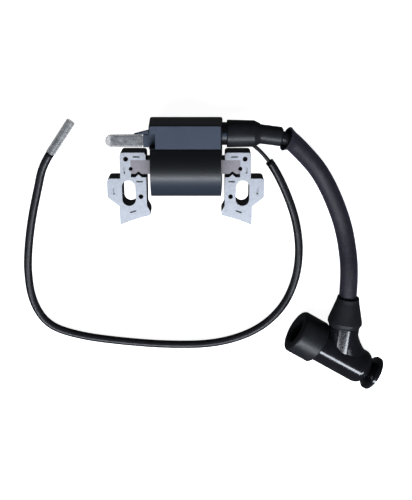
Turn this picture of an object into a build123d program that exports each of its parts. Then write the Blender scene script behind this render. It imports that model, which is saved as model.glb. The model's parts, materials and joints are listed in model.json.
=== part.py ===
from build123d import *

from math import cos, pi, radians, sin, sqrt, tan
import os

# Flywheel ignition coil of a small engine, lying on its back, in millimetres.
# X runs along the core bar, Y points from the pole faces towards the coil box, Z is up.
# The origin is under the middle of the coil and its core, on the surface they lie on.

# --- Laminated core ---
STACK = 12.0            # thickness of the lamination stacks
BAR_WIDTH = 7.44        # width of the bar through the coil
BAR_REACH = 29.1        # centre to either end of the bar
LEG_INNER = 21.0        # centre to the inner edge of a leg
LEG_OUTER = 34.8        # centre to the outer edge of a leg
LEG_RISE = 7.7          # drum axis to the top of a leg
LEG_DROP = 32.0         # drum axis to the lowest corner of a pole face
EAR_REACH = 42.1        # centre to the outer edge of an ear
EAR_TOP = -6.4          # top edge of an ear, from the drum axis
EAR_LOW = -16.8         # where an ear starts to slant back to the leg
EAR_ROOT = -21.8        # where the slant meets the leg
EAR_ROUND = 1.8
LEG_ROUND = 1.6
POLE_RADIUS = 86.0      # flywheel radius plus the air gap
TOE_REACH = 19.3        # centre to the inner tip of a pole face
TOE_HEEL = -21.4        # where the toe starts on the inner edge
SLOT_X = 30.5           # mounting slots
SLOT_Y = -14.4
SLOT_WIDTH = 7.3
SLOT_LENGTH = 14.2
RIVET_HOLE = 2.6
PIN_HOLE = 2.2
WINDOW_GAP = 1.9        # free gap in the leg's window, below the bar
LOCK_DEPTH = 1.6        # height of the locking nib under the bar
LOCK_X = 25.0
LOCK_HALF = 1.7
SEAT_GAP = 0.02         # between pieces pressed together
STAMP_LENGTH = 3.5      # interlock dimples that hold the laminations together
STAMP_WIDTH = 0.9
STAMP_DEPTH = 0.9

# --- Coil case ---
DRUM_RADIUS = 17.0
FACE_Z = 2 * DRUM_RADIUS  # front face of the case
DRUM_HALF = 18.9        # half of the length inside which the cup is hollow
CASE_WALL = 2.0
FACE_HALF = 18.4        # half of the drum's length at its front
BACK_HALF = 19.7        # and at its open back
CASE_SHIFT = 0.25       # middle of the case, from the middle of the core
BOX_PROUD = 0.2         # the box stands this far beyond the drum's ends
BOX_HALF = 19.1
BOX_LOW = 12.0          # lower edge of the box, from the drum axis
BOX_CREST = 7.3         # top face of the box above the drum
BOX_RISE = DRUM_RADIUS + BOX_CREST
BOX_BACK = 10.0         # open back of the box
BOX_CORNER = 1.2
BOX_EDGE = 0.6
NOTCH_LENGTH = 4.0      # recess beside the stop terminal
NOTCH_LOW = 0.1         # foot of the recess above the box's lower edge
NOTCH_WIDTH = 7.7
NOTCH_DEPTH = 6.8
TUNNEL_GAP = 0.15       # around the bar
RESIN_BACK = 1.0        # the resin stops this far below the rim
LID_BLOCK = 6.3         # solid wall at the stop terminal's end of the box

# --- Windings and bobbins ---
BOBBIN_HALF = 16.6
PRIMARY_WALL = 0.8
PRIMARY_FLANGE = 9.8
FLANGE_THICK = 1.0
PRIMARY_BUILD = 9.4     # outer radius of the primary winding
SECONDARY_BORE = 9.9
SECONDARY_TUBE = 10.8
SECONDARY_FLANGE = 14.3
SECONDARY_BUILD = 13.8  # outer radius of the secondary winding
SECTIONS = 5            # winding chambers of the secondary
RIB_THICK = 0.8
WIND_GAP = 0.02

# --- Electronics in the box ---
BOARD_LENGTH = 22.0
BOARD_HEIGHT = 18.0
BOARD_THICK = 1.2
BOARD_Y = 15.4          # face of the board nearest the drum, from the drum axis
BOARD_X = -1.5
BOARD_Z = 21.5
CHIP = (10.0, 4.4, 12.0)
PARTS_GAP = 0.5         # between the capacitor and the wall above it
CAPACITOR_RADIUS = (BOX_RISE - CASE_WALL - PARTS_GAP - BOARD_Y - BOARD_THICK) / 2
CAPACITOR_LENGTH = 7.0
RESISTOR_RADIUS = 0.9
RESISTOR_LENGTH = 6.0

# --- High-tension outlet ---
HT_Y = 16.95            # outlet axis, from the drum axis
HT_Z = 18.0
COLLAR_RADIUS = 6.0
COLLAR_LENGTH = 3.0
TOWER_RADIUS = 5.0
TOWER_END = 31.0
LEAD_SEAT = 21.8        # where the lead's end sits in the tower
LEAD_RADIUS = 3.5
LEAD_CLEARANCE = 0.05
SPIKE_RADIUS = 0.8
SPIKE_START = 13.5
SPIKE_END = 25.2
BOOT_RADIUS = 7.27
BOOT_SHOULDER = 36.4
BOOT_TAPER = 39.6
BOOT_TAIL_RADIUS = 5.15
BOOT_TAIL = 13.4        # length of the tail beyond the bend
BOOT_GRIP = 0.05        # between the boot and the tower

# --- Sleeve over the lead ---
SLEEVE_RADIUS = 5.1
SLEEVE_BORE = 3.6

# --- Stop terminal ---
BLADE_Y = 14.4          # blade axis, from the drum axis
BLADE_Z = 24.0
BLADE_WIDTH = 4.8
BLADE_THICK = 0.8
BLADE_ROOT = 17.2
BLADE_TIP = 38.6
COVER_WIDTH = 6.6
COVER_THICK = 3.4
COVER_TIP = 41.9
COVER_MOUTH = 22.6
COVER_GAP = 0.2         # around the blade
RIB_LENGTH = 7.6
RIB_RISE = 2.0
COLLAR_LENGTH = 2.8     # moulded collar round the blade, outside the box
COLLAR_WIDTH = 6.4
COLLAR_THICK = 3.2
WALL_BITE = 1.4         # how far the rib and the collar are rooted in the box's drafted wall

# --- Stop wire ---
WIRE_RADIUS = 1.05
TUBE_RADIUS = 2.35
TUBE_BORE = 1.3
BULLET_BARREL = 1.5     # radii of the bullet terminal
BULLET_PIN = 1.2
BULLET_BARREL_LENGTH = 8.0
BULLET_LENGTH = 18.5
SHEATH_RADIUS = 2.6     # clear sheath over the bullet terminal
SHEATH_BORE = 2.0
SHEATH_LENGTH = 21.5
SHEATH_GAP = 0.3        # between the tube's end and the sheath

# --- Spark plug cap ---
PLUG_BOOT_RADIUS = 12.8
CAP_Z = PLUG_BOOT_RADIUS
BOOT_AIM = 149.0        # direction of the plug socket in the XY plane, degrees
PLUG_BOOT_LENGTH = 16.0
PLUG_BOOT_MOUTH = 31.7  # from the cap's elbow to the socket's mouth
PLUG_BOOT_BORE = 7.2
PLUG_BOOT_LEAD_IN = 1.6  # the bore opens by this much at the mouth, at 45 degrees
BARREL_RADIUS = 10.2
BARREL_BORE = 5.8
BARREL_NOSE = 22.0      # end of the barrel inside the rubber boot
BARREL_FLOOR = -11.0    # bottom of the barrel's bore
BARREL_TAIL = 19.2      # elbow to the closed end
BARREL_ROUND = 6.0
BRANCH_RADIUS = 8.9
BRANCH_SHOULDER = 22.4
FLARE_TOP = 18.0        # the branch widens towards the knob from here
FLARE_MIDDLE = 9.5
FLARE_FOOT = 3.5
FLARE_MIDDLE_REACH = 11.4
FLARE_FOOT_REACH = 15.4
FLARE_INSET = 0.4       # the flare's own surface starts this far inside the branch
SPIGOT_RADIUS = 6.0
BRANCH_END = 32.0
LEAD_STOP = 20.0        # elbow to the end of the lead
SEAL_MOUTH = 37.3       # elbow to the mouth of the neck seal
SEAL_MOUTH_RADIUS = 6.3
SEAL_WAIST = 29.3
SEAL_WAIST_RADIUS = 8.2
SEAL_FOOT = 20.0
SEAL_FOOT_RADIUS = 10.0
SEAL_BORE = 5.15
KNOB_RADIUS = 10.3
KNOB_NECK = 6.2
KNOB_DISC = 5.2
KNOB_END = 26.6         # elbow to the top of the knob
KNOB_CROWN = 2.6
STUD_RADIUS = 2.6
STUD_LENGTH = 4.0
CLIP_RADIUS = 4.4
CLIP_BORE = 3.15
CLIP_START = 6.0
CLIP_LENGTH = 11.0
SPRING_RADIUS = 2.4
SPRING_WIRE = 0.35
SPRING_TURNS = 3
SUPPRESSOR_RADIUS = 2.5
SUPPRESSOR_LENGTH = 12.5
SCREW_RADIUS = 1.0
SCREW_COLLAR = 1.9
SCREW_BITE = 6.0        # how far the screw enters the lead

# --- Places worked out from the sizes above ---
DRUM_Y = (LEG_DROP - BOX_RISE) / 2
DRUM_Z = DRUM_RADIUS
BACK_Z = DRUM_Z - STACK / 2
FRONT_Z = DRUM_Z + STACK / 2
POLE_CENTRE = -LEG_DROP - sqrt(POLE_RADIUS**2 - LEG_OUTER**2)
HALF_BAR = BAR_WIDTH / 2
HT_AXIS = Axis((0, DRUM_Y + HT_Y, HT_Z), (1, 0, 0))

# Routes of the two free cords, chosen by hand.
LEAD_ROUTE = [
    (LEAD_SEAT, DRUM_Y + HT_Y, HT_Z),
    (38.0, DRUM_Y + HT_Y, HT_Z),
    (54.4, 18.5, 17.2),
    (62.0, 10.9, 12.2),
    (74.0, -2.6, 5.5),
    (83.4, -20.0, 5.2),
    (91.0, -40.5, 5.4),
    (93.9, -66.5, CAP_Z),
    (91.86, -93.1, CAP_Z),
]
WIRE_ROUTE = [
    (FACE_HALF + CASE_SHIFT, 18.0, 6.0),
    (28.5, 18.0, 6.0),
    (36.2, 12.4, 5.2),
    (42.8, 6.4, 3.8),
    (49.8, -3.0, 2.35),
    (57.2, -18.0, 2.35),
    (62.8, -34.0, 2.35),
    (65.3, -52.0, 2.35),
    (63.5, -70.5, 2.35),
    (55.8, -88.6, 2.35),
    (40.4, -102.9, 2.35),
    (17.0, -111.0, 2.35),
    (-12.0, -111.6, 2.35),
    (-42.0, -109.0, 2.35),
    (-66.0, -105.3, 2.35),
    (-84.0, -98.6, 2.35),
    (-92.2, -83.2, 2.35),
    (-93.6, -64.0, 2.35),
    (-91.5, -46.0, 2.35),
    (-87.9, -28.5, 2.35),
    (-83.6, -13.0, 2.35),
    (-80.2, -0.3, 2.6),
    (-74.9, 7.24, 2.6),
]


def bend_radii(points):
    """Radius of the arc at each inner point: 0.45 of the shorter run over tan(half the turn)."""
    radii = []
    for before, here, after in zip(points, points[1:], points[2:]):
        run_in = Vector(here) - Vector(before)
        run_out = Vector(after) - Vector(here)
        shorter = min(run_in.length, run_out.length)
        radii.append(0.45 * shorter / tan(radians(run_in.get_angle(run_out)) / 2))
    return radii


def along(start, end, share):
    """A point on the straight run from start to end."""
    return tuple(a + (b - a) * share for a, b in zip(start, end))


def report_cord(name, points, radii, solid, area):
    """Print a cord's bends, its length and its volume against section times length."""
    with BuildLine(mode=Mode.PRIVATE) as path:
        FilletPolyline(*points, radius=radii)
    length = sum(edge.length for edge in path.edges())
    print(name, "radii", [round(r, 1) for r in radii])
    print(name, "length", round(length, 1), "volume ratio", round(solid.volume / (area * length), 4))


def coil_xy(height):
    """Plane across the coil at a height, with its origin on the drum axis."""
    return Plane(origin=(0, DRUM_Y, height))


def coil_yz(x, height=DRUM_Z):
    """Plane square to the drum axis: local x runs along Y and local y along Z."""
    return Plane(origin=(x, DRUM_Y, height), x_dir=(0, 1, 0), z_dir=(1, 0, 0))


# --- Core ---
WINDOW_TOP = HALF_BAR + SEAT_GAP
WINDOW_LOW = -HALF_BAR - WINDOW_GAP
STAMPS = [  # place and direction of each interlock dimple
    (26.0, 5.5, 0),
    (24.6, -8.0, 0),
    (28.5, -24.7, -19),
    (32.5, -1.8, 90),
    (38.5, -13.4, 90),
]

with BuildPart() as right_leg:
    with BuildSketch(coil_xy(BACK_Z)) as leg_outline:
        with BuildLine():
            Polyline(
                (LEG_INNER, LEG_RISE),
                (LEG_OUTER, LEG_RISE),
                (LEG_OUTER, EAR_TOP),
                (EAR_REACH, EAR_TOP),
                (EAR_REACH, EAR_LOW),
                (LEG_OUTER + 1.0, EAR_ROOT),
                (LEG_OUTER + 1.0, -LEG_DROP - 3.0),
                (TOE_REACH, -LEG_DROP - 3.0),
                (TOE_REACH, TOE_HEEL - 3.2),
                (LEG_INNER, TOE_HEEL),
                close=True,
            )
        make_face()
        with Locations((0, POLE_CENTRE)):
            Circle(POLE_RADIUS, mode=Mode.SUBTRACT)
        top_corners = leg_outline.vertices().group_by(Axis.Y)[-1]
        fillet(top_corners, LEG_ROUND)
        ear_corners = leg_outline.vertices().group_by(Axis.X)[-1]
        fillet(ear_corners, EAR_ROUND)
        with Locations((SLOT_X, SLOT_Y)):
            SlotOverall(SLOT_LENGTH, SLOT_WIDTH, rotation=90, mode=Mode.SUBTRACT)
        with Locations((31.6, 4.3), (24.1, -16.3)):
            Circle(RIVET_HOLE / 2, mode=Mode.SUBTRACT)
        with BuildLine():
            Polyline(
                (LEG_INNER - 1.0, WINDOW_TOP),
                (BAR_REACH + SEAT_GAP, WINDOW_TOP),
                (BAR_REACH + SEAT_GAP, WINDOW_LOW),
                (LOCK_X + LOCK_HALF, WINDOW_LOW),
                (LOCK_X, WINDOW_LOW + LOCK_DEPTH),
                (LOCK_X - LOCK_HALF, WINDOW_LOW),
                (LEG_INNER - 1.0, WINDOW_LOW),
                close=True,
            )
        make_face(mode=Mode.SUBTRACT)
        with Locations((BAR_REACH, -1.0)):
            Circle(PIN_HOLE / 2, mode=Mode.SUBTRACT)
    extrude(amount=STACK)
    for stamp_x, stamp_y, stamp_turn in STAMPS:
        with BuildSketch(coil_xy(FRONT_Z)):
            with Locations((stamp_x, stamp_y)):
                Rectangle(STAMP_LENGTH, STAMP_WIDTH, rotation=stamp_turn)
        extrude(amount=-STAMP_DEPTH, mode=Mode.SUBTRACT)

left_leg_part = mirror(right_leg.part, about=Plane.YZ, mode=Mode.PRIVATE)
with BuildPart() as left_leg:
    add(left_leg_part)

with BuildPart() as core_bar:
    with BuildSketch(coil_xy(BACK_Z)):
        with BuildLine() as bar_edge:
            Polyline(
                (0, HALF_BAR),
                (BAR_REACH, HALF_BAR),
                (BAR_REACH, -HALF_BAR),
                (LOCK_X + LOCK_HALF, -HALF_BAR),
                (LOCK_X, -HALF_BAR + LOCK_DEPTH - 0.2),
                (LOCK_X - LOCK_HALF, -HALF_BAR),
                (0, -HALF_BAR),
            )
            mirror(about=Plane.YZ)
        make_face()
        with Locations((BAR_REACH, -1.0), (-BAR_REACH, -1.0)):
            Circle(PIN_HOLE / 2, mode=Mode.SUBTRACT)
    extrude(amount=STACK)

def case_outline(proud, low):
    """Corners of the case seen along Y, down to a height, wider at the back by its draft."""
    half_low = BACK_HALF - (BACK_HALF - FACE_HALF) * low / FACE_Z
    return [
        (CASE_SHIFT - FACE_HALF - proud, FACE_Z),
        (CASE_SHIFT + FACE_HALF + proud, FACE_Z),
        (CASE_SHIFT + half_low + proud, low),
        (CASE_SHIFT - half_low - proud, low),
    ]


# --- Coil case: a U-shaped cup with the box above it, open at the back ---
HT_LOCAL = (HT_Y, HT_Z - DRUM_Z)
with BuildPart() as coil_case:
    with BuildSketch(coil_yz(-BACK_HALF - 1.0)):
        Circle(DRUM_RADIUS)
        with Locations((0, -DRUM_Z / 2)):
            Rectangle(2 * DRUM_RADIUS, DRUM_Z)
    extrude(amount=2 * (BACK_HALF + 1.0))
    with BuildSketch(Plane.XZ):
        with BuildLine():
            Polyline(*case_outline(0, 0), close=True)
        make_face()
    extrude(amount=2 * BOX_RISE, both=True, mode=Mode.INTERSECT)
    with BuildSketch(Plane.XZ.offset(-DRUM_Y - BOX_LOW)):
        with BuildLine():
            Polyline(*case_outline(BOX_PROUD, BOX_BACK), close=True)
        make_face()
    extrude(amount=BOX_LOW - BOX_RISE)
    box_top = coil_case.faces().sort_by(Axis.Y)[-1]
    fillet(box_top.edges().filter_by(Axis.X, reverse=True), BOX_CORNER)
    box_front = coil_case.faces().filter_by(Axis.Z).sort_by(Axis.Z)[-1]
    fillet(box_front.edges().sort_by(Axis.Y)[1:], BOX_EDGE)
    # Cavity for the windings
    with BuildSketch(coil_yz(-DRUM_HALF + CASE_WALL)):
        Circle(DRUM_RADIUS - CASE_WALL)
        with Locations((0, -DRUM_Z / 2)):
            Rectangle(2 * (DRUM_RADIUS - CASE_WALL), DRUM_Z)
    extrude(amount=2 * (DRUM_HALF - CASE_WALL), mode=Mode.SUBTRACT)
    # Cavity for the electronics
    ROOM_LENGTH = 2 * BOX_HALF - CASE_WALL - LID_BLOCK
    ROOM_WIDTH = BOX_RISE - CASE_WALL
    with BuildSketch(coil_xy(BOX_BACK)):
        with Locations((-BOX_HALF + LID_BLOCK + ROOM_LENGTH / 2, ROOM_WIDTH / 2)):
            Rectangle(ROOM_LENGTH, ROOM_WIDTH)
    extrude(amount=DRUM_Z - BOX_BACK, mode=Mode.SUBTRACT)
    with BuildSketch(coil_xy(DRUM_Z)):
        with Locations((-BOX_HALF + LID_BLOCK + ROOM_LENGTH / 2, (BOX_LOW + CASE_WALL + ROOM_WIDTH) / 2)):
            Rectangle(ROOM_LENGTH, ROOM_WIDTH - BOX_LOW - CASE_WALL)
    extrude(amount=FACE_Z - CASE_WALL - DRUM_Z, mode=Mode.SUBTRACT)
    # Tunnel for the core bar
    with BuildSketch(coil_yz(-BACK_HALF - 1.0)):
        Rectangle(BAR_WIDTH + 2 * TUNNEL_GAP, STACK + 2 * TUNNEL_GAP)
    extrude(amount=2 * (BACK_HALF + 1.0), mode=Mode.SUBTRACT)
    # Recess and rib at the stop terminal
    with BuildSketch(coil_xy(FACE_Z)):
        with Locations((-BOX_HALF + NOTCH_LENGTH / 2, BOX_LOW + NOTCH_LOW + NOTCH_WIDTH / 2)):
            Rectangle(NOTCH_LENGTH, NOTCH_WIDTH)
    extrude(amount=-NOTCH_DEPTH, mode=Mode.SUBTRACT)
    RIB_FOOT = BLADE_Y + COVER_WIDTH / 2 + 0.3
    with BuildSketch(coil_xy(BLADE_Z - COVER_THICK / 2)):
        with BuildLine():
            Polyline(
                (-BOX_HALF + WALL_BITE, RIB_FOOT),
                (-BOX_HALF - RIB_LENGTH, RIB_FOOT),
                (-BOX_HALF, RIB_FOOT + RIB_RISE),
                (-BOX_HALF + WALL_BITE, RIB_FOOT + RIB_RISE),
                close=True,
            )
        make_face()
    extrude(amount=COVER_THICK)
    with BuildSketch(coil_yz(-BOX_HALF - COLLAR_LENGTH, BLADE_Z)):
        with Locations((BLADE_Y, 0)):
            Rectangle(COLLAR_WIDTH, COLLAR_THICK)
    extrude(amount=COLLAR_LENGTH + WALL_BITE)
    with BuildSketch(coil_yz(-BOX_HALF - COLLAR_LENGTH, BLADE_Z)):
        with Locations((BLADE_Y, 0)):
            Rectangle(BLADE_WIDTH, BLADE_THICK)
    extrude(amount=BOX_HALF + COLLAR_LENGTH - BLADE_ROOT, mode=Mode.SUBTRACT)
    # Hole for the stop wire
    with BuildSketch(coil_yz(WIRE_ROUTE[0][0] - SEAT_GAP)):
        with Locations((WIRE_ROUTE[0][1] - DRUM_Y, WIRE_ROUTE[0][2] - DRUM_Z)):
            Circle(WIRE_RADIUS + SEAT_GAP)
    extrude(amount=CASE_WALL, mode=Mode.SUBTRACT)
    # High-tension tower
    with BuildSketch(coil_yz(BOX_HALF - 0.5)):
        with Locations(HT_LOCAL):
            Circle(COLLAR_RADIUS)
    extrude(amount=COLLAR_LENGTH + 0.5)
    with BuildSketch(coil_yz(BOX_HALF)):
        with Locations(HT_LOCAL):
            Circle(TOWER_RADIUS)
    extrude(amount=TOWER_END - BOX_HALF)
    with BuildSketch(coil_yz(LEAD_SEAT)):
        with Locations(HT_LOCAL):
            Circle(LEAD_RADIUS + LEAD_CLEARANCE)
    extrude(amount=TOWER_END - LEAD_SEAT, mode=Mode.SUBTRACT)
    with BuildSketch(coil_yz(BOX_HALF - CASE_WALL - 1.0)):
        with Locations(HT_LOCAL):
            Circle(SPIKE_RADIUS + SEAT_GAP)
    extrude(amount=CASE_WALL + 1.0 + COLLAR_LENGTH, mode=Mode.SUBTRACT)

# --- Primary bobbin and winding ---
TUBE_Y = BAR_WIDTH + 2 * TUNNEL_GAP
TUBE_Z = STACK + 2 * TUNNEL_GAP
with BuildPart() as primary_bobbin:
    with BuildSketch(coil_yz(-BOBBIN_HALF)):
        Rectangle(TUBE_Y + 2 * PRIMARY_WALL, TUBE_Z + 2 * PRIMARY_WALL)
    extrude(amount=2 * BOBBIN_HALF)
    for flange_x in (-BOBBIN_HALF, BOBBIN_HALF - FLANGE_THICK):
        with BuildSketch(coil_yz(flange_x)):
            Circle(PRIMARY_FLANGE)
        extrude(amount=FLANGE_THICK)
    with BuildSketch(coil_yz(-BOBBIN_HALF)):
        Rectangle(TUBE_Y, TUBE_Z)
    extrude(amount=2 * BOBBIN_HALF, mode=Mode.SUBTRACT)

PRIMARY_HALF = BOBBIN_HALF - FLANGE_THICK - WIND_GAP
with BuildPart() as primary_winding:
    with BuildSketch(coil_yz(-PRIMARY_HALF)):
        Circle(PRIMARY_BUILD)
        Rectangle(
            TUBE_Y + 2 * (PRIMARY_WALL + WIND_GAP),
            TUBE_Z + 2 * (PRIMARY_WALL + WIND_GAP),
            mode=Mode.SUBTRACT,
        )
    extrude(amount=2 * PRIMARY_HALF)

# --- Secondary bobbin and winding ---
CHAMBER = (2 * BOBBIN_HALF - RIB_THICK) / SECTIONS
with BuildPart() as secondary_bobbin:
    with BuildSketch(coil_yz(-BOBBIN_HALF)):
        Circle(SECONDARY_TUBE)
        Circle(SECONDARY_BORE, mode=Mode.SUBTRACT)
    extrude(amount=2 * BOBBIN_HALF)
    for rib in range(SECTIONS + 1):
        with BuildSketch(coil_yz(-BOBBIN_HALF + rib * CHAMBER)):
            Circle(SECONDARY_FLANGE)
            Circle(SECONDARY_BORE, mode=Mode.SUBTRACT)
        extrude(amount=RIB_THICK)

with BuildPart() as secondary_winding:
    for section in range(SECTIONS):
        with BuildSketch(coil_yz(-BOBBIN_HALF + section * CHAMBER + RIB_THICK + WIND_GAP)):
            Circle(SECONDARY_BUILD)
            Circle(SECONDARY_TUBE + WIND_GAP, mode=Mode.SUBTRACT)
        extrude(amount=CHAMBER - RIB_THICK - 2 * WIND_GAP)

# --- Igniter electronics ---
BOARD_TOP = BOARD_Y + BOARD_THICK
with BuildPart() as circuit_board:
    with BuildSketch(Plane(origin=(BOARD_X, DRUM_Y + BOARD_Y, BOARD_Z), x_dir=(1, 0, 0), z_dir=(0, 1, 0))):
        Rectangle(BOARD_LENGTH, BOARD_HEIGHT)
    extrude(amount=BOARD_THICK)

with BuildPart() as power_transistor:
    with BuildSketch(Plane(origin=(BOARD_X - 4.5, DRUM_Y + BOARD_TOP, BOARD_Z + 3.0), z_dir=(0, 1, 0))):
        Rectangle(CHIP[0], CHIP[2])
    extrude(amount=CHIP[1])
    chamfer(power_transistor.faces().sort_by(Axis.Y)[-1].edges(), 0.4)

with BuildPart() as trigger_capacitor:
    with BuildSketch(coil_yz(BOARD_X - 3.0, BOARD_Z - 6.5)):
        with Locations((BOARD_TOP + CAPACITOR_RADIUS, 0)):
            Circle(CAPACITOR_RADIUS)
    extrude(amount=CAPACITOR_LENGTH)

with BuildPart() as bias_resistors:
    for row in range(3):
        with BuildSketch(coil_yz(BOARD_X + 3.0, BOARD_Z + 1.0 + row * 3.2)):
            with Locations((BOARD_TOP + RESISTOR_RADIUS, 0)):
                Circle(RESISTOR_RADIUS)
        extrude(amount=RESISTOR_LENGTH)

with BuildPart() as ht_spike:
    with BuildSketch(coil_yz(SPIKE_START)):
        with Locations(HT_LOCAL):
            Circle(SPIKE_RADIUS)
    extrude(amount=SPIKE_END - SPIKE_START)
    chamfer(ht_spike.edges().sort_by(Axis.X)[-1], 0.4)

# --- Resin that fills the cup around the windings and the electronics ---
with BuildPart() as potting_resin:
    with BuildSketch(coil_yz(-DRUM_HALF + CASE_WALL)):
        Circle(DRUM_RADIUS - CASE_WALL)
        with Locations((0, (RESIN_BACK - DRUM_Z) / 2)):
            Rectangle(2 * (DRUM_RADIUS - CASE_WALL), DRUM_Z - RESIN_BACK)
    extrude(amount=2 * (DRUM_HALF - CASE_WALL))
    with BuildSketch(coil_xy(BOX_BACK + RESIN_BACK)):
        with Locations((-BOX_HALF + LID_BLOCK + ROOM_LENGTH / 2, (BOX_LOW + ROOM_WIDTH) / 2)):
            Rectangle(ROOM_LENGTH, ROOM_WIDTH - BOX_LOW)
    extrude(amount=DRUM_Z - BOX_BACK - RESIN_BACK)
    with BuildSketch(coil_xy(DRUM_Z)):
        with Locations((-BOX_HALF + LID_BLOCK + ROOM_LENGTH / 2, (BOX_LOW + CASE_WALL + ROOM_WIDTH) / 2)):
            Rectangle(ROOM_LENGTH, ROOM_WIDTH - BOX_LOW - CASE_WALL)
    extrude(amount=FACE_Z - CASE_WALL - DRUM_Z)
    with BuildSketch(coil_yz(-BOBBIN_HALF)):
        Circle(SECONDARY_FLANGE)
    extrude(amount=2 * BOBBIN_HALF, mode=Mode.SUBTRACT)
    with BuildSketch(coil_yz(-DRUM_HALF)):
        Rectangle(TUBE_Y, TUBE_Z)
    extrude(amount=2 * DRUM_HALF, mode=Mode.SUBTRACT)
    for part in (circuit_board, power_transistor, trigger_capacitor, bias_resistors, ht_spike):
        add(part.part, mode=Mode.SUBTRACT)

# --- Stop terminal and its clear cover ---
with BuildPart() as stop_terminal_blade:
    with BuildSketch(Plane(origin=(0, DRUM_Y + BLADE_Y, BLADE_Z - BLADE_THICK / 2))):
        with Locations((-(BLADE_ROOT + BLADE_TIP) / 2, 0)):
            Rectangle(BLADE_TIP - BLADE_ROOT, BLADE_WIDTH)
        with Locations((-BLADE_TIP + 4.6, 0)):
            Circle(0.9, mode=Mode.SUBTRACT)
    extrude(amount=BLADE_THICK)
    chamfer(stop_terminal_blade.edges().filter_by(Axis.Z).group_by(Axis.X)[0], 1.2)

COVER_LENGTH = COVER_TIP - COVER_MOUTH
with BuildPart() as stop_terminal_cover:
    with BuildSketch(Plane(origin=(0, DRUM_Y + BLADE_Y, BLADE_Z - COVER_THICK / 2))):
        with Locations((-(COVER_TIP + COVER_MOUTH) / 2, 0)):
            Rectangle(COVER_LENGTH, COVER_WIDTH)
    extrude(amount=COVER_THICK)
    fillet(stop_terminal_cover.edges().filter_by(Axis.Z).group_by(Axis.X)[0], COVER_WIDTH / 2 - 0.1)
    cover_rims = stop_terminal_cover.faces().filter_by(Axis.Z).edges()
    fillet(cover_rims.filter_by(lambda edge: edge.center().X < -COVER_MOUTH - 0.5), 1.2)
    with BuildSketch(coil_yz(-COVER_MOUTH, BLADE_Z)):
        with Locations((BLADE_Y, 0)):
            Rectangle(BLADE_WIDTH + 2 * COVER_GAP, BLADE_THICK + 2 * COVER_GAP)
    extrude(amount=-(BLADE_TIP + 0.5 - COVER_MOUTH), mode=Mode.SUBTRACT)

# --- High-tension lead, its boot at the coil and the braided sleeve ---
LEAD_RADII = bend_radii(LEAD_ROUTE)
with BuildPart() as ht_lead:
    with BuildLine():
        FilletPolyline(*LEAD_ROUTE, radius=LEAD_RADII)
    with BuildSketch(coil_yz(LEAD_SEAT)):
        with Locations(HT_LOCAL):
            Circle(LEAD_RADIUS)
    sweep()
    with BuildSketch(coil_yz(LEAD_SEAT)):
        with Locations(HT_LOCAL):
            Circle(SPIKE_RADIUS + LEAD_CLEARANCE)
    extrude(amount=SPIKE_END + 0.3 - LEAD_SEAT, mode=Mode.SUBTRACT)
    with BuildSketch(Plane(origin=LEAD_ROUTE[-1], z_dir=Vector(LEAD_ROUTE[-2]) - Vector(LEAD_ROUTE[-1]))):
        Circle(SCREW_RADIUS + LEAD_CLEARANCE)
    extrude(amount=SCREW_BITE + 0.3, mode=Mode.SUBTRACT)

BEND = Vector(LEAD_ROUTE[1])
TAIL_AIM = (Vector(LEAD_ROUTE[2]) - BEND).normalized()
with BuildPart() as ht_boot:
    boot_start = BOX_HALF + COLLAR_LENGTH
    with BuildSketch(Plane(origin=(0, DRUM_Y + HT_Y, HT_Z))):
        with BuildLine():
            Polyline(
                (boot_start, 0),
                (boot_start, BOOT_RADIUS),
                (BOOT_SHOULDER, BOOT_RADIUS - 0.3),
                (BOOT_TAPER, BOOT_TAIL_RADIUS + 0.2),
                (BOOT_TAPER, 0),
                close=True,
            )
        make_face()
    revolve(axis=HT_AXIS)
    fillet(ht_boot.edges().sort_by(Axis.X)[:1], 0.6)
    with BuildSketch(Plane(origin=BEND - TAIL_AIM * 1.5, z_dir=TAIL_AIM)):
        Circle(BOOT_TAIL_RADIUS)
    extrude(amount=BOOT_TAIL + 1.5)
    chamfer(ht_boot.edges().filter_by(GeomType.CIRCLE).sort_by(Axis.X)[-1], 0.9)
    with BuildSketch(coil_yz(boot_start)):
        with Locations(HT_LOCAL):
            Circle(TOWER_RADIUS + BOOT_GRIP)
    extrude(amount=TOWER_END + 0.2 - boot_start, mode=Mode.SUBTRACT)
    with BuildLine():
        FilletPolyline(*LEAD_ROUTE[:4], radius=LEAD_RADII[:2])
    with BuildSketch(coil_yz(LEAD_SEAT)):
        with Locations(HT_LOCAL):
            Circle(LEAD_RADIUS + LEAD_CLEARANCE)
    sweep(mode=Mode.SUBTRACT)

SLEEVE_START = along(LEAD_ROUTE[2], LEAD_ROUTE[3], 0.5)
SLEEVE_END = along(LEAD_ROUTE[-2], LEAD_ROUTE[-1], 0.48)
SLEEVE_ROUTE = [SLEEVE_START] + LEAD_ROUTE[3:-1] + [SLEEVE_END]
with BuildPart() as braided_sleeve:
    for sleeve_radius, sleeve_mode in ((SLEEVE_RADIUS, Mode.ADD), (SLEEVE_BORE, Mode.SUBTRACT)):
        with BuildLine():
            FilletPolyline(*SLEEVE_ROUTE, radius=LEAD_RADII[2:])
        with BuildSketch(Plane(origin=SLEEVE_START, z_dir=Vector(SLEEVE_ROUTE[1]) - Vector(SLEEVE_START))):
            Circle(sleeve_radius)
        sweep(mode=sleeve_mode)

# --- Stop wire, its tube and the bullet terminal ---
WIRE_RADII = bend_radii(WIRE_ROUTE)
BULLET_ROOT = Vector(WIRE_ROUTE[-1])
BULLET_AIM = (BULLET_ROOT - Vector(WIRE_ROUTE[-2])).normalized()
with BuildPart() as stop_wire:
    with BuildLine():
        FilletPolyline(*WIRE_ROUTE, radius=WIRE_RADII)
    with BuildSketch(Plane(origin=WIRE_ROUTE[0], z_dir=Vector(WIRE_ROUTE[1]) - Vector(WIRE_ROUTE[0]))):
        Circle(WIRE_RADIUS)
    sweep()

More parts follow.
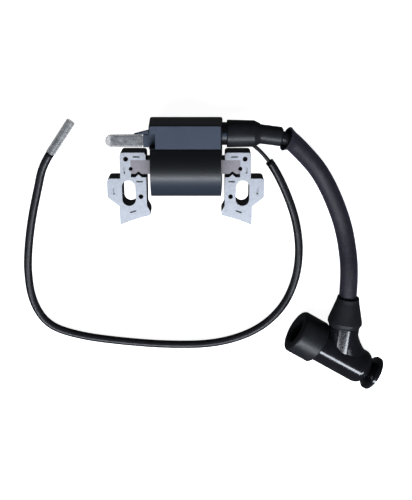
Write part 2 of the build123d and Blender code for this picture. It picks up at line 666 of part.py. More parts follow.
TUBE_START = along(WIRE_ROUTE[3], WIRE_ROUTE[4], 0.53)
TUBE_ROUTE = [TUBE_START] + WIRE_ROUTE[4:-1] + [along(WIRE_ROUTE[-2], WIRE_ROUTE[-1], 0.9)]
with BuildPart() as stop_wire_tube:
    for tube_radius, tube_mode in ((TUBE_RADIUS, Mode.ADD), (TUBE_BORE, Mode.SUBTRACT)):
        with BuildLine():
            FilletPolyline(*TUBE_ROUTE, radius=WIRE_RADII[3:])
        with BuildSketch(Plane(origin=TUBE_START, z_dir=Vector(TUBE_ROUTE[1]) - Vector(TUBE_START))):
            Circle(tube_radius)
        sweep(mode=tube_mode)

with BuildPart() as bullet_terminal:
    with BuildSketch(Plane(origin=BULLET_ROOT, z_dir=BULLET_AIM)):
        Circle(BULLET_BARREL)
    extrude(amount=BULLET_BARREL_LENGTH)
    with BuildSketch(Plane(origin=BULLET_ROOT, z_dir=BULLET_AIM)):
        Circle(BULLET_PIN)
    extrude(amount=BULLET_LENGTH)
    pin_rim = bullet_terminal.edges().filter_by(GeomType.CIRCLE).sort_by(Axis(BULLET_ROOT, BULLET_AIM))[-1]
    chamfer(pin_rim, 0.5)

SHEATH_START = Vector(TUBE_ROUTE[-1]) + BULLET_AIM * SHEATH_GAP
with BuildPart() as bullet_terminal_cover:
    with BuildSketch(Plane(origin=SHEATH_START, z_dir=BULLET_AIM)):
        Circle(SHEATH_RADIUS)
        Circle(SHEATH_BORE, mode=Mode.SUBTRACT)
    extrude(amount=SHEATH_LENGTH)

# --- Spark plug cap, turned round its socket axis and its branch axis ---
LEAD_END = Vector(LEAD_ROUTE[-1])
BRANCH_AIM = (Vector(LEAD_ROUTE[-2]) - LEAD_END).normalized()
ELBOW = LEAD_END - BRANCH_AIM * LEAD_STOP
SOCKET_AIM = Vector(cos(radians(BOOT_AIM)), sin(radians(BOOT_AIM)), 0)
SOCKET_AXIS = Axis(ELBOW, SOCKET_AIM)
BRANCH_AXIS = Axis(ELBOW, BRANCH_AIM)
SOCKET_PLANE = Plane(origin=ELBOW, x_dir=SOCKET_AIM, z_dir=(0, 0, 1))
BRANCH_PLANE = Plane(origin=ELBOW, x_dir=BRANCH_AIM, z_dir=(0, 0, 1))


def socket_square(distance):
    """Plane square to the socket axis, at a distance from the elbow."""
    return Plane(origin=ELBOW + SOCKET_AIM * distance, z_dir=SOCKET_AIM)


def branch_square(distance):
    """Plane square to the branch axis, at a distance from the elbow."""
    return Plane(origin=ELBOW + BRANCH_AIM * distance, z_dir=BRANCH_AIM)


def branch_plane(distance):
    """Plane square to the branch axis whose local x points away from the plug boot."""
    return Plane(origin=ELBOW + BRANCH_AIM * distance, x_dir=BRANCH_AIM.cross(Vector(0, 0, 1)), z_dir=BRANCH_AIM)


FLARE = [
    (FLARE_FOOT, FLARE_FOOT_REACH),
    (FLARE_MIDDLE, FLARE_MIDDLE_REACH),
    (FLARE_TOP, BRANCH_RADIUS - FLARE_INSET),
]
with BuildPart() as cap_body:
    with BuildSketch(socket_square(-BARREL_TAIL)):
        Circle(BARREL_RADIUS)
    extrude(amount=BARREL_TAIL + BARREL_NOSE)
    tail_rim = cap_body.edges().filter_by(GeomType.CIRCLE).sort_by(SOCKET_AXIS)[0]
    fillet(tail_rim, BARREL_ROUND)
    with BuildSketch(BRANCH_PLANE):
        with BuildLine():
            Polyline(
                (0, 0),
                (0, BRANCH_RADIUS),
                (BRANCH_SHOULDER, BRANCH_RADIUS),
                (BRANCH_SHOULDER, SPIGOT_RADIUS),
                (BRANCH_END, SPIGOT_RADIUS),
                (BRANCH_END, 0),
                close=True,
            )
        make_face()
    revolve(axis=BRANCH_AXIS)
    for flare_place, flare_reach in FLARE:
        with BuildSketch(branch_plane(flare_place)):
            with Locations(((flare_reach - BRANCH_RADIUS) / 2, 0)):
                Ellipse((flare_reach + BRANCH_RADIUS) / 2 - FLARE_INSET, BRANCH_RADIUS - FLARE_INSET)
    loft()
    with BuildSketch(socket_square(BARREL_FLOOR)):
        Circle(BARREL_BORE)
    extrude(amount=BARREL_NOSE - BARREL_FLOOR, mode=Mode.SUBTRACT)
    with BuildSketch(branch_square(0)):
        Circle(SCREW_COLLAR + LEAD_CLEARANCE)
    extrude(amount=LEAD_STOP, mode=Mode.SUBTRACT)
    with BuildSketch(branch_square(LEAD_STOP)):
        Circle(LEAD_RADIUS + LEAD_CLEARANCE)
    extrude(amount=BRANCH_END - LEAD_STOP, mode=Mode.SUBTRACT)
    with BuildSketch(socket_square(-BARREL_TAIL)):
        Circle(STUD_RADIUS + SEAT_GAP)
    extrude(amount=STUD_LENGTH, mode=Mode.SUBTRACT)

with BuildPart() as plug_boot:
    with BuildSketch(socket_square(PLUG_BOOT_MOUTH - PLUG_BOOT_LENGTH)):
        Circle(PLUG_BOOT_RADIUS)
    extrude(amount=PLUG_BOOT_LENGTH)
    boot_rims = plug_boot.edges().filter_by(GeomType.CIRCLE).sort_by(SOCKET_AXIS)
    fillet(boot_rims[-1], 2.0)
    chamfer(plug_boot.edges().filter_by(GeomType.CIRCLE).sort_by(SOCKET_AXIS)[0], 1.0)
    with BuildSketch(socket_square(PLUG_BOOT_MOUTH - PLUG_BOOT_LENGTH)):
        Circle(BARREL_RADIUS + SEAT_GAP)
    extrude(amount=BARREL_NOSE + SEAT_GAP - (PLUG_BOOT_MOUTH - PLUG_BOOT_LENGTH), mode=Mode.SUBTRACT)
    with BuildSketch(socket_square(BARREL_NOSE)):
        Circle(PLUG_BOOT_BORE)
    extrude(amount=PLUG_BOOT_MOUTH - BARREL_NOSE, mode=Mode.SUBTRACT)
    mouth_edges = plug_boot.edges().filter_by(GeomType.CIRCLE).group_by(SOCKET_AXIS)[-1]
    chamfer(mouth_edges.sort_by(SortBy.RADIUS)[0], PLUG_BOOT_LEAD_IN)
    with BuildSketch(branch_square(0)):
        Circle(BRANCH_RADIUS + SEAT_GAP)
    extrude(amount=SEAL_FOOT, mode=Mode.SUBTRACT)

with BuildPart() as neck_seal:
    with BuildSketch(BRANCH_PLANE):
        with BuildLine():
            Polyline(
                (SEAL_FOOT, 0),
                (SEAL_FOOT, SEAL_FOOT_RADIUS - 0.8),
                (SEAL_FOOT + 1.6, SEAL_FOOT_RADIUS),
                (SEAL_FOOT + 3.2, SEAL_FOOT_RADIUS - 0.1),
                (SEAL_WAIST, SEAL_WAIST_RADIUS),
                (SEAL_MOUTH - 2.0, SEAL_MOUTH_RADIUS + 0.3),
                (SEAL_MOUTH, SEAL_MOUTH_RADIUS),
                (SEAL_MOUTH, 0),
                close=True,
            )
        make_face()
    revolve(axis=BRANCH_AXIS)
    with BuildSketch(branch_square(SEAL_FOOT)):
        Circle(SEAL_BORE)
    extrude(amount=SEAL_MOUTH - SEAL_FOOT, mode=Mode.SUBTRACT)
    with BuildSketch(BRANCH_PLANE):
        with BuildLine():
            Polyline(
                (0, 0),
                (0, BRANCH_RADIUS + SEAT_GAP),
                (BRANCH_SHOULDER + SEAT_GAP, BRANCH_RADIUS + SEAT_GAP),
                (BRANCH_SHOULDER + SEAT_GAP, SPIGOT_RADIUS + SEAT_GAP),
                (BRANCH_END + SEAT_GAP, SPIGOT_RADIUS + SEAT_GAP),
                (BRANCH_END + SEAT_GAP, 0),
                close=True,
            )
        make_face()
    revolve(axis=BRANCH_AXIS, mode=Mode.SUBTRACT)

CROWN_RADIUS = (KNOB_RADIUS**2 + KNOB_CROWN**2) / (2 * KNOB_CROWN)
with BuildPart() as pull_knob:
    with BuildSketch(SOCKET_PLANE):
        with BuildLine():
            Line((-BARREL_TAIL - SEAT_GAP, 0), (-BARREL_TAIL - SEAT_GAP, KNOB_NECK - 1.4))
            Line((-BARREL_TAIL - SEAT_GAP, KNOB_NECK - 1.4), (-KNOB_END + KNOB_DISC, KNOB_RADIUS - 0.8))
            Line((-KNOB_END + KNOB_DISC, KNOB_RADIUS - 0.8), (-KNOB_END + KNOB_DISC - 0.8, KNOB_RADIUS))
            Line((-KNOB_END + KNOB_DISC - 0.8, KNOB_RADIUS), (-KNOB_END + KNOB_CROWN, KNOB_RADIUS))
            RadiusArc((-KNOB_END + KNOB_CROWN, KNOB_RADIUS), (-KNOB_END, 0), -CROWN_RADIUS)
            Line((-KNOB_END, 0), (-BARREL_TAIL - SEAT_GAP, 0))
        make_face()
    revolve(axis=SOCKET_AXIS)
    with BuildSketch(socket_square(-BARREL_TAIL - 1.0)):
        Circle(STUD_RADIUS)
    extrude(amount=STUD_LENGTH + 1.0 - SEAT_GAP)

with BuildPart() as plug_clip:
    with BuildSketch(socket_square(CLIP_START)):
        Circle(CLIP_RADIUS)
    extrude(amount=CLIP_LENGTH)
    with BuildSketch(socket_square(CLIP_START + 1.0)):
        Circle(CLIP_BORE)
    extrude(amount=CLIP_LENGTH - 1.0, mode=Mode.SUBTRACT)
    with BuildSketch(socket_square(CLIP_START + 4.0)):
        Rectangle(2 * CLIP_RADIUS, 0.9)
    extrude(amount=CLIP_LENGTH - 4.0, mode=Mode.SUBTRACT)

SUPPRESSOR_START = BARREL_FLOOR + 0.3
SPRING_START = SUPPRESSOR_START + SUPPRESSOR_LENGTH + SPRING_WIRE + SEAT_GAP
SPRING_HEIGHT = CLIP_START - SPRING_WIRE - SEAT_GAP - SPRING_START
with BuildPart() as suppressor_resistor:
    with BuildSketch(socket_square(SUPPRESSOR_START)):
        Circle(SUPPRESSOR_RADIUS)
    extrude(amount=SUPPRESSOR_LENGTH)
    chamfer(suppressor_resistor.edges().filter_by(GeomType.CIRCLE), 0.3)

with BuildPart() as contact_spring:
    spring_frame = socket_square(SPRING_START)
    with BuildLine():
        spring_line = Helix(
            SPRING_HEIGHT / SPRING_TURNS,
            SPRING_HEIGHT,
            SPRING_RADIUS,
            center=spring_frame.origin,
            direction=SOCKET_AIM,
        )
    with BuildSketch(Plane(origin=spring_line @ 0, z_dir=spring_line % 0)):
        Circle(SPRING_WIRE)
    sweep(is_frenet=True)

ELBOW_ANGLE = radians(SOCKET_AIM.get_angle(BRANCH_AIM))
SCREW_FOOT = (SUPPRESSOR_RADIUS + SEAT_GAP + SCREW_RADIUS * cos(ELBOW_ANGLE)) / sin(ELBOW_ANGLE)
with BuildPart() as lead_screw:
    with BuildSketch(branch_square(SCREW_FOOT)):
        Circle(SCREW_RADIUS)
    extrude(amount=LEAD_STOP + SCREW_BITE - SCREW_FOOT)
    with BuildSketch(branch_square(BARREL_RADIUS)):
        Circle(SCREW_COLLAR)
    extrude(amount=LEAD_STOP - 0.3 - BARREL_RADIUS)
    chamfer(lead_screw.edges().filter_by(GeomType.CIRCLE).sort_by(BRANCH_AXIS)[-1], 0.6)

# --- Hand out ---
PIECES = {
    "left_leg_laminations": left_leg,
    "right_leg_laminations": right_leg,
    "core_bar_laminations": core_bar,
    "coil_case": coil_case,
    "potting_resin": potting_resin,
    "primary_bobbin": primary_bobbin,
    "primary_winding": primary_winding,
    "secondary_bobbin": secondary_bobbin,
    "secondary_winding": secondary_winding,
    "circuit_board": circuit_board,
    "power_transistor": power_transistor,
    "trigger_capacitor": trigger_capacitor,
    "bias_resistors": bias_resistors,
    "ht_spike": ht_spike,
    "stop_terminal_blade": stop_terminal_blade,
    "stop_terminal_cover": stop_terminal_cover,
    "ht_boot": ht_boot,
    "ht_lead": ht_lead,
    "braided_sleeve": braided_sleeve,
    "stop_wire": stop_wire,
    "stop_wire_tube": stop_wire_tube,
    "bullet_terminal": bullet_terminal,
    "bullet_terminal_cover": bullet_terminal_cover,
    "cap_body": cap_body,
    "plug_boot": plug_boot,
    "neck_seal": neck_seal,
    "pull_knob": pull_knob,
    "plug_clip": plug_clip,
    "contact_spring": contact_spring,
    "suppressor_resistor": suppressor_resistor,
    "lead_screw": lead_screw,
}
os.makedirs("parts", exist_ok=True)
for piece_name, builder in PIECES.items():
    builder.part.label = piece_name
    export_step(builder.part, f"parts/{piece_name}.step")

report_cord("ht_lead", LEAD_ROUTE, LEAD_RADII, ht_lead.part, pi * LEAD_RADIUS**2)
report_cord("stop_wire", WIRE_ROUTE, WIRE_RADII, stop_wire.part, pi * WIRE_RADIUS**2)
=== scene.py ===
import json
from math import cos, floor, pi, radians, sin, tau

import bpy
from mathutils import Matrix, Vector


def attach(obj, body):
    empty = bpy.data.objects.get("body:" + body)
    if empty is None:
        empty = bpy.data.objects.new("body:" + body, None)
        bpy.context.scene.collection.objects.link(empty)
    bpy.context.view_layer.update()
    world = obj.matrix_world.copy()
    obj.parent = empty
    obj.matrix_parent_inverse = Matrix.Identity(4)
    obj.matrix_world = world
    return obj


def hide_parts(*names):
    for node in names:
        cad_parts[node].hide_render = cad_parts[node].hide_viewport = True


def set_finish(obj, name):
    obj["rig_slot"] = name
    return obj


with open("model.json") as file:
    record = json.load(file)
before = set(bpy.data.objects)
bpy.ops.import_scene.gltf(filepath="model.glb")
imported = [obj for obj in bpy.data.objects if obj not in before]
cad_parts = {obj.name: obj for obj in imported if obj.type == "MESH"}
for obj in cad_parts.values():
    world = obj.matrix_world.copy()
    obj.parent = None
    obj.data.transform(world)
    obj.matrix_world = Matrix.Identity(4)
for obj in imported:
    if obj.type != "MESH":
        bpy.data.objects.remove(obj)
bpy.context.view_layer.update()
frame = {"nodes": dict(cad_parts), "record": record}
nodes = frame["nodes"]
MM = 0.001


# ---------------------------------------------------------------- camera
CAMERA_TILT = 20.0          # degrees off straight down
CAMERA_PLACE = (10.9, 104.05, 427.0)
FOCAL_PIXELS = 780.0        # focal length in pixels of a frame 500 pixels high
FRAME_HEIGHT = 500.0
SENSOR = 36.0

camera_data = bpy.data.cameras.new("camera")
camera_data.sensor_width = SENSOR
camera_data.lens = FOCAL_PIXELS / FRAME_HEIGHT * SENSOR
camera = bpy.data.objects.new("camera", camera_data)
camera.location = Vector(CAMERA_PLACE) * MM
camera.rotation_euler = (-radians(CAMERA_TILT), 0, 0)
bpy.context.scene.collection.objects.link(camera)
bpy.context.scene.camera = camera


# ---------------------------------------------------------------- routes of the cords, in millimetres
LEAD_ROUTE = [
    (21.8, 20.8, 18.0),
    (38.0, 20.8, 18.0),
    (54.4, 18.5, 17.2),
    (62.0, 10.9, 12.2),
    (74.0, -2.6, 5.5),
    (83.4, -20.0, 5.2),
    (91.0, -40.5, 5.4),
    (93.9, -66.5, 12.8),
    (91.86, -93.1, 12.8),
]
WIRE_ROUTE = [
    (18.65, 18.0, 6.0),
    (28.5, 18.0, 6.0),
    (36.2, 12.4, 5.2),
    (42.8, 6.4, 3.8),
    (49.8, -3.0, 2.35),
    (57.2, -18.0, 2.35),
    (62.8, -34.0, 2.35),
    (65.3, -52.0, 2.35),
    (63.5, -70.5, 2.35),
    (55.8, -88.6, 2.35),
    (40.4, -102.9, 2.35),
    (17.0, -111.0, 2.35),
    (-12.0, -111.6, 2.35),
    (-42.0, -109.0, 2.35),
    (-66.0, -105.3, 2.35),
    (-84.0, -98.6, 2.35),
    (-92.2, -83.2, 2.35),
    (-93.6, -64.0, 2.35),
    (-91.5, -46.0, 2.35),
    (-87.9, -28.5, 2.35),
    (-83.6, -13.0, 2.35),
    (-80.2, -0.3, 2.6),
    (-74.9, 7.24, 2.6),
]
LEAD_RADIUS = 3.5 * MM
WIRE_RADIUS = 1.05 * MM


def route_curve(name, route, radius):
    """A round cord on one smooth NURBS spline, with the route's points as its control points."""
    data = bpy.data.curves.new(name, "CURVE")
    data.dimensions = "3D"
    data.resolution_u = 16
    spline = data.splines.new("NURBS")
    spline.points.add(len(route) - 1)
    for point, place in zip(spline.points, route):
        point.co = (*(Vector(place) * MM), 1.0)
        point.radius = radius
    spline.order_u = 3
    spline.use_endpoint_u = True
    data.bevel_depth = 1.0      # times each point's own radius, which also sets the curve's box
    data.bevel_resolution = 8
    data.use_fill_caps = True
    obj = bpy.data.objects.new(name, data)
    bpy.context.scene.collection.objects.link(obj)
    return obj


def centreline(curve):
    """The points of a curve's own smooth line, read from it without its bevel."""
    bare = curve.copy()
    bare.data = curve.data.copy()
    bare.data.bevel_depth = 0
    mesh = bpy.data.meshes.new_from_object(bare)
    points = [vertex.co.copy() for vertex in mesh.vertices]
    bpy.data.meshes.remove(mesh)
    bpy.data.objects.remove(bare)
    return points


def length_of(points):
    """Length of a line through its points."""
    return sum((there - here).length for here, there in zip(points, points[1:]))


def resample(points, step, start, end):
    """Points evenly spaced along a line, from start to end, as lengths along it."""
    marks = [0.0]
    for here, there in zip(points, points[1:]):
        marks.append(marks[-1] + (there - here).length)
    count = max(2, round((end - start) / step))
    out = []
    index = 0
    for k in range(count + 1):
        mark = start + (end - start) * k / count
        while index < len(marks) - 2 and marks[index + 1] < mark:
            index += 1
        share = (mark - marks[index]) / (marks[index + 1] - marks[index])
        out.append(points[index].lerp(points[index + 1], share))
    return out


def frames_along(points):
    """Two directions square to the line at each of its points, carried along without twist."""
    side = None
    out = []
    for k, point in enumerate(points):
        ahead = points[min(k + 1, len(points) - 1)] - points[max(k - 1, 0)]
        ahead.normalize()
        if side is None:
            side = ahead.orthogonal().normalized()
        side = (side - ahead * side.dot(ahead)).normalized()
        out.append((side.copy(), ahead.cross(side)))
    return out


def mesh_object(name, vertices, faces, smooth=True):
    """A new mesh object in the scene."""
    mesh = bpy.data.meshes.new(name)
    mesh.from_pydata(vertices, [], faces)
    mesh.update()
    for polygon in mesh.polygons:
        polygon.use_smooth = smooth
    obj = bpy.data.objects.new(name, mesh)
    bpy.context.scene.collection.objects.link(obj)
    return obj


def walled_tube(name, points, sides, outer, inner):
    """A tube with a wall: an outer skin, an inner skin and a rim at each end."""
    rings = len(points)
    directions = frames_along(points)
    vertices = []
    for surface in (outer, inner):
        for k, (point, (side, up)) in enumerate(zip(points, directions)):
            for j in range(sides):
                turn = tau * j / sides
                vertices.append(point + (side * cos(turn) + up * sin(turn)) * surface(k, turn))
    shift = rings * sides
    faces = []
    for k in range(rings - 1):
        for j in range(sides):
            a = k * sides + j
            b = k * sides + (j + 1) % sides
            faces.append((a, b, b + sides, a + sides))
            faces.append((a + shift, a + sides + shift, b + sides + shift, b + shift))
    for j in range(sides):
        a = j
        b = (j + 1) % sides
        faces.append((a, a + shift, b + shift, b))
        last = (rings - 1) * sides
        faces.append((last + a, last + b, last + b + shift, last + a + shift))
    return mesh_object(name, vertices, faces)


# ---------------------------------------------------------------- cords
lead = route_curve("lead", LEAD_ROUTE, LEAD_RADIUS)
wire = route_curve("wire", WIRE_ROUTE, WIRE_RADIUS)
lead_line = centreline(lead)
wire_line = centreline(wire)


# Braided sleeve
SLEEVE_RADIUS = 5.08 * MM
SLEEVE_WALL = 0.85 * MM
STRANDS = 24
STRAND_RISE = 0.32 * MM
BRAID_STEP = 0.3 * MM
FLARE_RISE = 1.7 * MM       # how far the sleeve's cut mouth opens
FLARE_LENGTH = 4.5 * MM
SLEEVE_SIDES = STRANDS * 5
sleeve_start = 32.3 * MM
sleeve_end = length_of(lead_line) - 12.8 * MM
sleeve_points = resample(lead_line, BRAID_STEP, sleeve_start, sleeve_end)
BRAID_PITCH = tau * SLEEVE_RADIUS / STRANDS


def sleeve_flare(k):
    """How far the cut mouth of the sleeve opens, by distance from the mouth."""
    away = k * BRAID_STEP
    return FLARE_RISE * max(0.0, 1.0 - away / FLARE_LENGTH) ** 2


def braid(k, turn):
    """Radius of the braid: two crossing families of flat strands, one over the other in turn."""
    along = k * BRAID_STEP / BRAID_PITCH
    across = turn * STRANDS / tau
    first = across + along
    second = across - along
    over = (floor(first) + floor(second)) % 2 == 0
    ridge = abs(sin(pi * first)) if over else abs(sin(pi * second))
    return SLEEVE_RADIUS - STRAND_RISE + STRAND_RISE * ridge ** 0.6 + sleeve_flare(k)


def sleeve_inside(k, turn):
    return SLEEVE_RADIUS - SLEEVE_WALL + sleeve_flare(k)


sleeve = walled_tube("sleeve", sleeve_points, SLEEVE_SIDES, braid, sleeve_inside)

# Vinyl tube over the stop wire
TUBE_RADIUS = 2.33 * MM
TUBE_BORE = 1.35 * MM
TUBE_STEP = 1.5 * MM
TUBE_SIDES = 32
tube_start = 33.5 * MM
tube_end = length_of(wire_line) - 1.0 * MM
tube_points = resample(wire_line, TUBE_STEP, tube_start, tube_end)
wire_tube = walled_tube(
    "wire_tube", tube_points, TUBE_SIDES, lambda k, turn: TUBE_RADIUS, lambda k, turn: TUBE_BORE
)

for piece, node, slot in (
    (lead, "ht_lead", "lead_jacket"),
    (wire, "stop_wire", "wire_jacket"),
    (sleeve, "braided_sleeve", "braid"),
    (wire_tube, "stop_wire_tube", "wire_tube"),
):
    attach(piece, "coil")
    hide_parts(node)
    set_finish(piece, slot)


# ---------------------------------------------------------------- materials
class Look:
    """One procedural material: a Principled shader and small helpers for the nodes in front of it.
    Patterns are measured in millimetres of the object's own space."""

    def __init__(self, name, color, roughness, metallic=0.0, **sockets):
        self.material = bpy.data.materials.new(name)
        self.material.use_nodes = True
        self.tree = self.material.node_tree
        self.shader = self.tree.nodes["Principled BSDF"]
        self.shader.inputs["Base Color"].default_value = (*color, 1.0)
        self.shader.inputs["Roughness"].default_value = roughness
        self.shader.inputs["Metallic"].default_value = metallic
        for key, value in sockets.items():
            self.shader.inputs[key.replace("_", " ")].default_value = value
        self.place = self.node("ShaderNodeTexCoord")
        scale = self.node("ShaderNodeVectorMath", operation="SCALE")
        scale.inputs["Scale"].default_value = 1.0 / MM
        self.link(self.place.outputs["Object"], scale.inputs[0])
        self.mm = scale.outputs["Vector"]
        self.material.diffuse_color = (*color, 1.0)

    def node(self, kind, **settings):
        made = self.tree.nodes.new(kind)
        for key, value in settings.items():
            setattr(made, key, value)
        return made

    def link(self, source, target):
        self.tree.links.new(source, target)

    def stretch(self, factors):
        """The place in millimetres, with each axis multiplied by its factor."""
        made = self.node("ShaderNodeVectorMath", operation="MULTIPLY")
        made.inputs[1].default_value = factors
        self.link(self.mm, made.inputs[0])
        return made.outputs["Vector"]

    def noise(self, scale, detail=3.0, rough=0.55, vector=None):
        made = self.node("ShaderNodeTexNoise")
        made.inputs["Scale"].default_value = scale
        made.inputs["Detail"].default_value = detail
        made.inputs["Roughness"].default_value = rough
        self.link(self.mm if vector is None else vector, made.inputs["Vector"])
        return made.outputs["Fac"]

    def ramp(self, value, *stops):
        """Colours or greys at places from 0 to 1."""
        made = self.node("ShaderNodeValToRGB")
        elements = made.color_ramp.elements
        while len(elements) < len(stops):
            elements.new(0.5)
        for element, (place, color) in zip(elements, stops):
            element.position = place
            element.color = (color, color, color, 1) if isinstance(color, float) else (*color, 1)
        self.link(value, made.inputs["Fac"])
        return made.outputs["Color"]

    def mix(self, share, first, second):
        """first where share is 0, second where it is 1."""
        made = self.node("ShaderNodeMix", data_type="RGBA")
        for source, target in ((share, made.inputs[0]), (first, made.inputs[6]), (second, made.inputs[7])):
            if isinstance(source, tuple):
                target.default_value = (*source, 1)
            else:
                self.link(source, target)
        return made.outputs[2]

    def math(self, operation, first, second=0.5):
        made = self.node("ShaderNodeMath", operation=operation)
        for value, target in ((first, made.inputs[0]), (second, made.inputs[1])):
            if isinstance(value, (int, float)):
                target.default_value = value
            else:
                self.link(value, target)
        return made.outputs["Value"]

    def axis(self, vector, name):
        made = self.node("ShaderNodeSeparateXYZ")
        self.link(vector, made.inputs[0])
        return made.outputs[name]

    def color(self, source):
        self.link(source, self.shader.inputs["Base Color"])

    def rough(self, source):
        self.link(source, self.shader.inputs["Roughness"])

    def bump(self, height, distance, strength):
        """Relief of a height pattern; distance is its depth in metres."""
        made = self.node("ShaderNodeBump")
        made.inputs["Strength"].default_value = strength
        made.inputs["Distance"].default_value = distance
        self.link(height, made.inputs["Height"])
        self.link(made.outputs["Normal"], self.shader.inputs["Normal"])


def steel_look(name, bright, dull, edge):
    """Stamped laminations: brushed faces towards front and back, dark layered edges."""
    look = Look(name, bright, 0.4, metallic=0.35)
    faceness = look.math("ABSOLUTE", look.axis(look.place.outputs["Normal"], "Z"), 0.0)
    faceness = look.math("GREATER_THAN", faceness, 0.7)
    brushed = look.noise(1.0, 5.0, 0.7, look.stretch((0.5, 7.0, 1.0)))
    blotch = look.noise(0.35, 3.0)
    face = look.mix(look.ramp(brushed, (0.3, 0.0), (0.7, 1.0)), dull, bright)
    face = look.mix(look.ramp(blotch, (0.42, 0.0), (0.75, 0.45)), face, tuple(0.8 * c for c in dull))
    grit = look.noise(2.4, 4.0, 0.7)
    face = look.mix(look.ramp(grit, (0.48, 0.0), (0.74, 0.55)), face, tuple(0.55 * c for c in dull))
    layers = look.math("FRACT", look.math("MULTIPLY", look.axis(look.mm, "Z"), 2.0))
    sheets = look.ramp(layers, (0.0, edge), (0.25, tuple(2.6 * c for c in edge)), (0.8, edge))
    look.color(look.mix(faceness, sheets, face))
    look.rough(look.ramp(brushed, (0.2, 0.3), (0.8, 0.48)))
    edge_relief = look.ramp(layers, (0.0, 0.0), (0.4, 1.0))
    face_relief = look.ramp(brushed, (0.0, 0.4), (1.0, 0.6))
    look.bump(look.mix(faceness, edge_relief, face_relief), 0.00008, 0.7)
    return look.material


def moulded_look(name, dark, light, roughness, grain, relief, **sockets):
    """Moulded plastic or rubber: fine grain, faint cloudiness and a worn, dusty lightness."""
    look = Look(name, dark, roughness, **sockets)
    cloud = look.noise(0.12, 4.0)
    fine = look.noise(grain, 4.0, 0.65)
    look.color(look.mix(look.ramp(cloud, (0.35, 0.0), (0.75, 1.0)), dark, light))
    look.rough(look.ramp(fine, (0.25, roughness - 0.06), (0.75, roughness + 0.08)))
    look.bump(fine, relief, 0.6)
    return look.material


BOX_SIDE = 10.0         # the box lies beyond this place along Y, in millimetres


def case_look(name, relief):
    """Moulded case plastic, near black, with a painted blue sheen on the box's flat top and a painted
    highlight band low on the drum, on the faces that lean towards the key light; both faintly mottled.
    """
    look = Look(name, (0.02, 0.022, 0.028), 0.4, Coat_Weight=0.25, Coat_Roughness=0.25)
    normal = look.place.outputs["Normal"]
    cloud = look.noise(0.11, 4.0)
    fine = look.noise(3.2, 4.0, 0.65)
    on_box = look.math("GREATER_THAN", look.axis(look.mm, "Y"), BOX_SIDE)
    # Painted sheen: the box's flat top faces get a lighter blue colour in place of the key light's
    # reflection.
    flat = look.math("MULTIPLY", on_box, look.ramp(look.axis(normal, "Z"), (0.965, 0.0), (0.99, 1.0)))
    lean = look.math("MULTIPLY", look.axis(normal, "Y"), -1.0)
    # Painted highlight: drum faces leaning towards the key light (minus Y) get a lighter blue colour.
    low = look.math("MULTIPLY", look.ramp(lean, (0.05, 0.0), (0.4, 0.45)), look.math("SUBTRACT", 1.0, on_box))
    painted_sheen = look.math("MULTIPLY", look.math("MAXIMUM", flat, low), look.ramp(cloud, (0.2, 0.8), (0.8, 1.0)))
    # The blue is the painted sheen and painted highlight, faintly mottled; the rest stays near black.
    look.color(look.mix(painted_sheen, (0.006, 0.007, 0.009), (0.05, 0.066, 0.104)))
    look.rough(look.ramp(fine, (0.25, 0.34), (0.75, 0.5)))
    look.bump(fine, relief, 0.6)
    return look.material


def braid_look():
    """Varnished glass braid: dark threads with a faint violet and blue sheen."""
    look = Look("braid", (0.012, 0.011, 0.016), 0.42, Sheen_Weight=0.35, Sheen_Roughness=0.4)
    look.shader.inputs["Sheen Tint"].default_value = (0.55, 0.5, 0.8, 1)
    thread = look.noise(5.0, 3.0, 0.7)
    patch = look.noise(0.25, 3.0)
    dark = look.mix(look.ramp(thread, (0.35, 0.0), (0.7, 1.0)), (0.006, 0.006, 0.008), (0.035, 0.032, 0.045))
    look.color(look.mix(look.ramp(patch, (0.5, 0.0), (0.8, 0.6)), dark, (0.04, 0.033, 0.06)))
    look.rough(look.ramp(thread, (0.2, 0.34), (0.8, 0.6)))
    look.bump(thread, 0.00012, 0.6)
    return look.material


def clear_look():
    """Clear soft vinyl, a little milky."""
    look = Look("clear_vinyl", (0.5, 0.51, 0.53), 0.16, Alpha=0.5, IOR=1.5)
    milk = look.noise(0.5, 3.0)
    look.color(look.ramp(milk, (0.3, (0.2, 0.205, 0.215)), (0.7, (0.46, 0.47, 0.49))))
    look.rough(look.ramp(milk, (0.3, 0.1), (0.8, 0.28)))
    look.bump(milk, 0.0003, 0.5)
    return look.material


def metal_look(name, bright, dull, roughness):
    """Plated metal with fine handling marks."""
    look = Look(name, bright, roughness, metallic=0.9)
    marks = look.noise(2.5, 5.0, 0.7)
    look.color(look.mix(look.ramp(marks, (0.35, 0.0), (0.7, 1.0)), dull, bright))
    look.rough(look.ramp(marks, (0.2, roughness), (0.8, roughness + 0.22)))
    look.bump(marks, 0.00005, 0.5)
    return look.material


def winding_look():
    """Enamelled copper laid turn by turn along the bar, with painted shade that darkens each turn to near
    black at its edges, in the grooves between turns.
    """
    look = Look("copper", (0.5, 0.16, 0.05), 0.35, metallic=0.8)
    turns = look.math("FRACT", look.math("MULTIPLY", look.axis(look.mm, "X"), 4.0))
    # Painted shade: the copper colour falls to near black in the grooves between turns.
    look.color(look.ramp(turns, (0.0, (0.1, 0.03, 0.01)), (0.5, (0.6, 0.22, 0.07)), (1.0, (0.1, 0.03, 0.01))))
    look.bump(turns, 0.0001, 0.6)
    return look.material


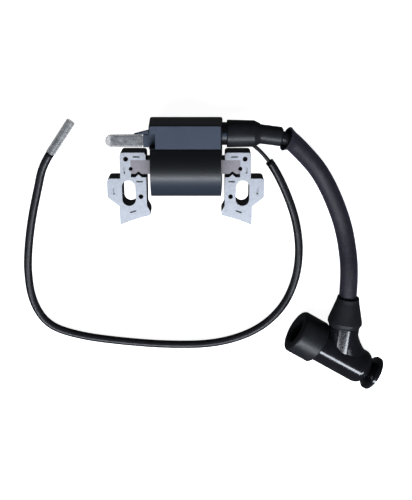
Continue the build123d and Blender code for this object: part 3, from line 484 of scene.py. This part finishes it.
LOOKS = {
    "core_steel": steel_look("core_steel", (0.7, 0.725, 0.79), (0.5, 0.525, 0.58), (0.012, 0.012, 0.016)),
    "bar_steel": steel_look("bar_steel", (0.42, 0.39, 0.42), (0.3, 0.28, 0.31), (0.012, 0.012, 0.014)),
    "case_plastic": case_look("case_plastic", 0.00006),
    "resin": moulded_look("resin", (0.01, 0.01, 0.012), (0.02, 0.02, 0.022), 0.2, 0.6, 0.0002),
    "bobbin_nylon": moulded_look("bobbin_nylon", (0.5, 0.46, 0.38), (0.6, 0.56, 0.48), 0.5, 2.0, 0.00006),
    "copper": winding_look(),
    "board_laminate": moulded_look(
        "board_laminate", (0.03, 0.12, 0.05), (0.05, 0.18, 0.08), 0.4, 3.0, 0.00005
    ),
    "chip_epoxy": moulded_look("chip_epoxy", (0.02, 0.02, 0.02), (0.035, 0.035, 0.035), 0.5, 4.0, 0.00006),
    "tinned_brass": metal_look("tinned_brass", (0.78, 0.77, 0.74), (0.5, 0.48, 0.44), 0.22),
    "clear_vinyl": clear_look(),
    "boot_rubber": moulded_look(
        "boot_rubber", (0.010, 0.011, 0.013), (0.02, 0.021, 0.025), 0.38, 2.2, 0.00008
    ),
    "lead_jacket": moulded_look(
        "lead_jacket", (0.01, 0.01, 0.012), (0.018, 0.018, 0.022), 0.35, 2.0, 0.00005
    ),
    "braid": braid_look(),
    "wire_jacket": moulded_look(
        "wire_jacket", (0.012, 0.012, 0.013), (0.02, 0.02, 0.022), 0.4, 3.0, 0.00004
    ),
    "wire_tube": moulded_look("wire_tube", (0.010, 0.010, 0.012), (0.02, 0.02, 0.026), 0.3, 1.2, 0.00006),
    "cap_phenolic": moulded_look(
        "cap_phenolic", (0.006, 0.006, 0.008), (0.012, 0.012, 0.016), 0.14, 0.8, 0.00005,
        Coat_Weight=0.5, Coat_Roughness=0.06
    ),
    "ceramic": moulded_look("ceramic", (0.7, 0.67, 0.6), (0.78, 0.75, 0.7), 0.35, 1.5, 0.00004),
}
SLOTS = {part["node"]: part["material_slot"] for part in frame["record"]["subparts"]}
for name, obj in nodes.items():
    obj.data.materials.clear()
    obj.data.materials.append(LOOKS[SLOTS[name]])
for piece in (lead, wire, sleeve, wire_tube):
    piece.data.materials.append(LOOKS[piece["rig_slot"]])


# ---------------------------------------------------------------- floor, light
STAGE_HALF = 3.0            # the floor's half width and the backdrop's height, in metres
FLOOR_Z = -0.0003
corners = [(x * STAGE_HALF, y * STAGE_HALF) for x, y in ((-1, -1), (1, -1), (1, 1), (-1, 1))]
floor_mesh = mesh_object(
    "floor",
    [(x, y, z) for z in (FLOOR_Z, STAGE_HALF) for x, y in corners],
    [(0, 1, 2, 3)] + [((k + 1) % 4, k, k + 4, (k + 1) % 4 + 4) for k in range(4)],
    smooth=False,
)
floor_material = bpy.data.materials.new("floor")
floor_material.use_nodes = True
floor_shader = floor_material.node_tree.nodes["Principled BSDF"]
floor_shader.inputs["Base Color"].default_value = (0.9, 0.9, 0.9, 1)
floor_shader.inputs["Roughness"].default_value = 0.9
floor_shader.inputs["Specular IOR Level"].default_value = 0.0
floor_shader.inputs["Emission Color"].default_value = (1, 1, 1, 1)
floor_shader.inputs["Emission Strength"].default_value = 0.95
floor_mesh.data.materials.append(floor_material)
floor_mesh.visible_diffuse = False
floor_mesh.visible_glossy = False

world = bpy.data.worlds.new("world")
world.use_nodes = True
background = world.node_tree.nodes["Background"]
background.inputs["Color"].default_value = (0.9, 0.95, 1, 1)
background.inputs["Strength"].default_value = 0.05
bpy.context.scene.world = world


def area_light(name, place, target, size, power, color=(1, 1, 1)):
    """A rectangular soft light aimed at a point. Metres, watts."""
    data = bpy.data.lights.new(name, "AREA")
    data.shape = "RECTANGLE"
    data.size, data.size_y = size
    data.energy = power
    data.color = color
    light = bpy.data.objects.new(name, data)
    light.location = place
    light.rotation_euler = (Vector(target) - Vector(place)).to_track_quat("-Z", "Y").to_euler()
    bpy.context.scene.collection.objects.link(light)
    return light


area_light("key", (0.0, -0.64, 0.82), (0.0, -0.03, 0.02), (1.3, 0.2), 10.0, (0.86, 0.92, 1.0))
overhead = area_light("overhead", (0.0, -0.45, 1.05), (0.0, -0.05, 0.0), (1.2, 0.5), 7.0, (0.93, 0.96, 1.0))
overhead.visible_glossy = False

scene = bpy.context.scene
scene.view_settings.view_transform = "Standard"
scene.view_settings.exposure = 0.0
